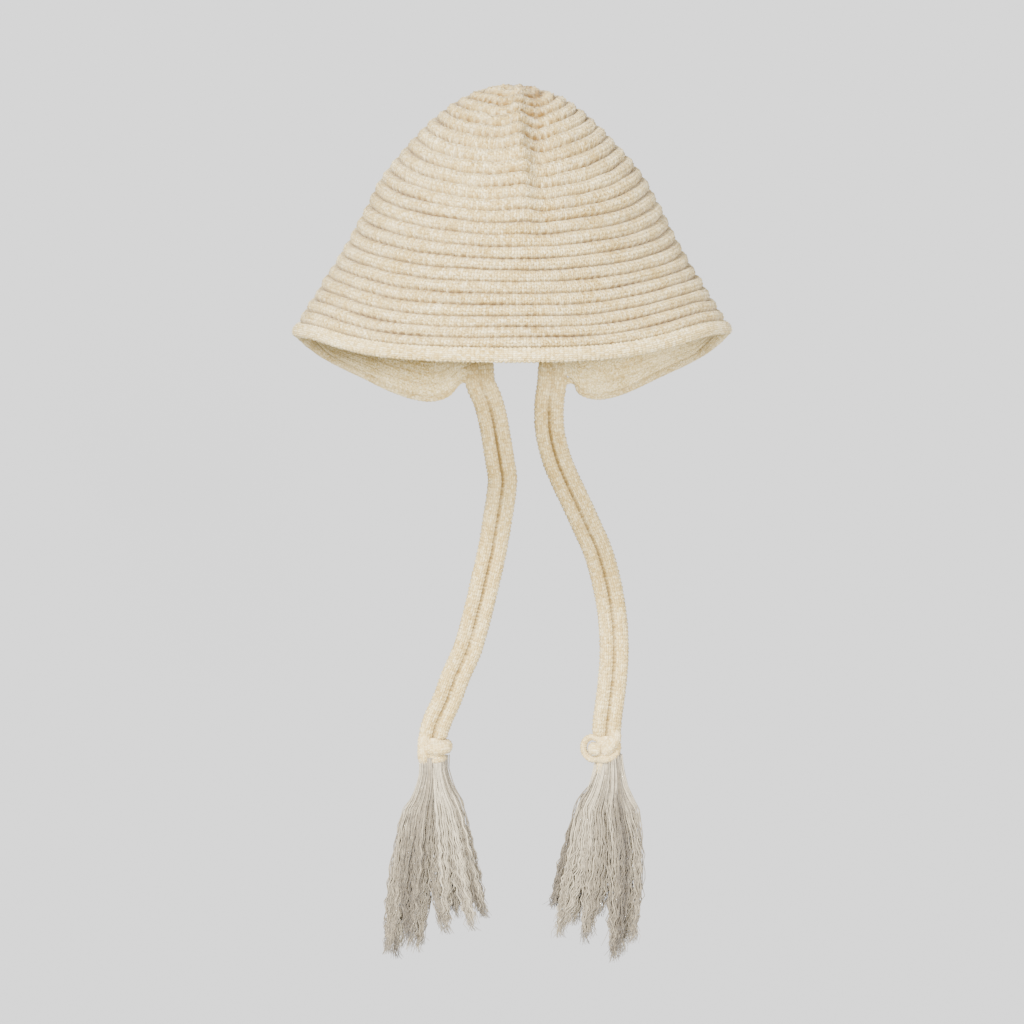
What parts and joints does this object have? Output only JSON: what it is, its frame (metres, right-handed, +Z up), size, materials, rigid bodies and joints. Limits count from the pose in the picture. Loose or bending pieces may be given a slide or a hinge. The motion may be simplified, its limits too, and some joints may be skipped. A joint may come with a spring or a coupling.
{
  "type": "knitted bonnet",
  "caption": "Ribbed knitted bonnet with a bell-shaped crown, cheek flaps round a face opening, rolled rim, and two long flat ties ending in knots and tassels.",
  "frame": {"origin": "inside of the top of the crown, where the bonnet sits on a head", "axes": "+Z up out of the top of the head; +X to the bonnet's side, right in the picture; -Y the nape side with the plain rim, towards the camera; +Y the side with the face opening and the ties"},
  "size_m": [0.2824, 0.2468, 0.6192],
  "materials": {
    "knit": "cream mottled knitted cotton",
    "band": "cream knitted cotton, rolled",
    "tie": "cream knitted cotton",
    "tassel": "greyish beige loose yarn"
  },
  "bodies": {
    "root": {"crown": "knit", "rim_band": "band", "face_band": "band", "tie_left": "tie", "tie_right": "tie", "knot_left": "tie", "knot_right": "tie", "tassel_left": "tassel", "tassel_right": "tassel"}
  },
  "joints": []
}
